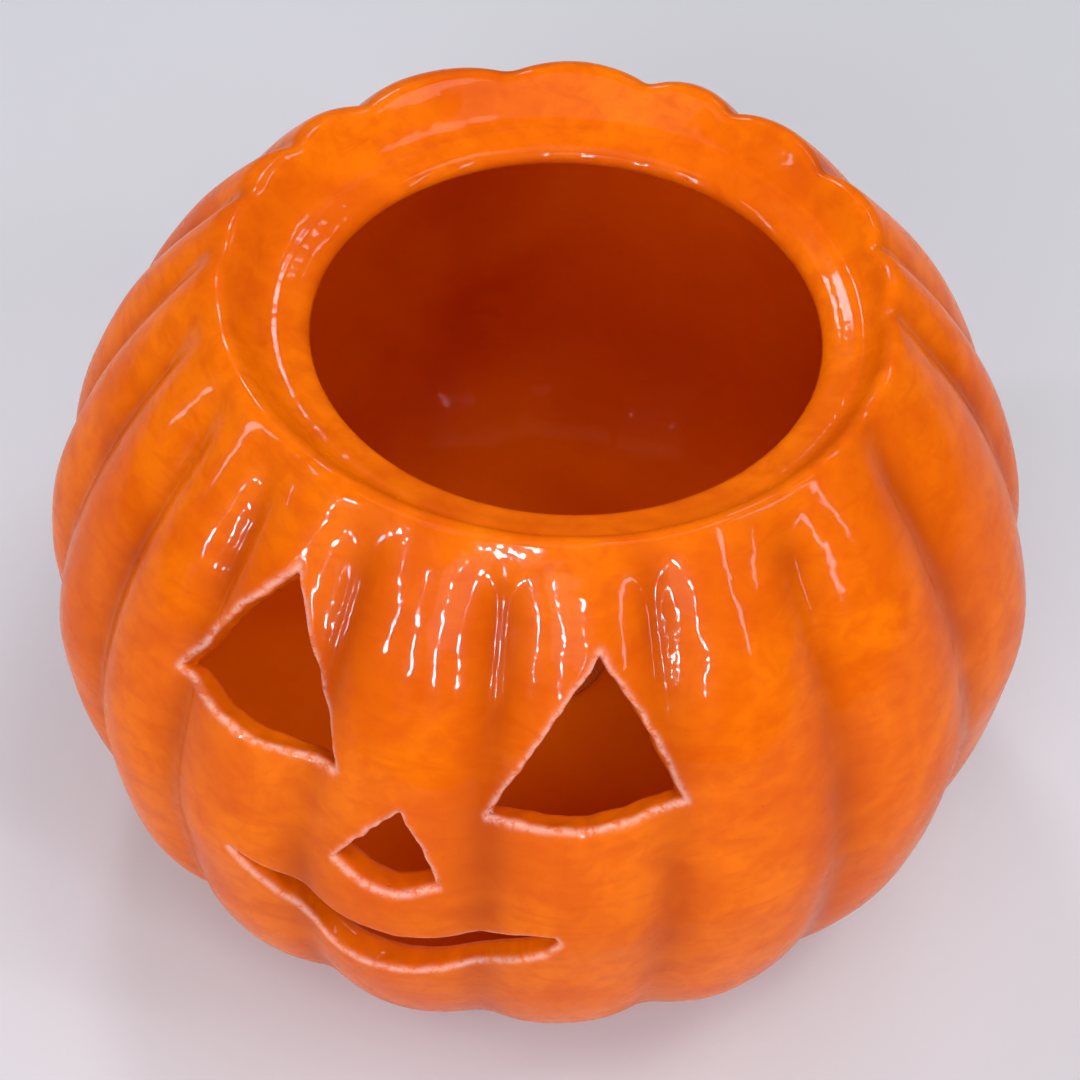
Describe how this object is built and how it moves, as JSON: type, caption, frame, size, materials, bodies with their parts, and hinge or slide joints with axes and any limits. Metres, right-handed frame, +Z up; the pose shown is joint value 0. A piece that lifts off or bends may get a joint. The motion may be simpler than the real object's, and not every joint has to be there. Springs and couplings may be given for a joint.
{
  "type": "ceramic pumpkin tealight lantern",
  "caption": "Ribbed, squat ceramic pumpkin with a wide round mouth, triangular eyes and nose and a curved smile cut through its glazed wall, holding a tealight.",
  "frame": {"origin": "centre of the pumpkin's foot, in the plane that it stands on", "axes": "+Z up through the mouth, the cut-out face looks towards -Y"},
  "size_m": [0.1775, 0.1771, 0.1236],
  "materials": {
    "orange_glaze": "gloss",
    "cup_aluminium": "satin",
    "wax": "satin",
    "tab_steel": "satin",
    "wick_cotton": "matte"
  },
  "bodies": {
    "shell": {"pumpkin_shell": "orange_glaze"},
    "tealight": {"tealight_cup": "cup_aluminium", "tealight_wax": "wax", "wick_tab": "tab_steel", "wick": "wick_cotton"}
  },
  "joints": [
    {"name": "tealight_lift", "type": "slide", "parent": "shell", "child": "tealight", "axis": [0, 0, 1], "range_m": [0, 0.13]}
  ]
}
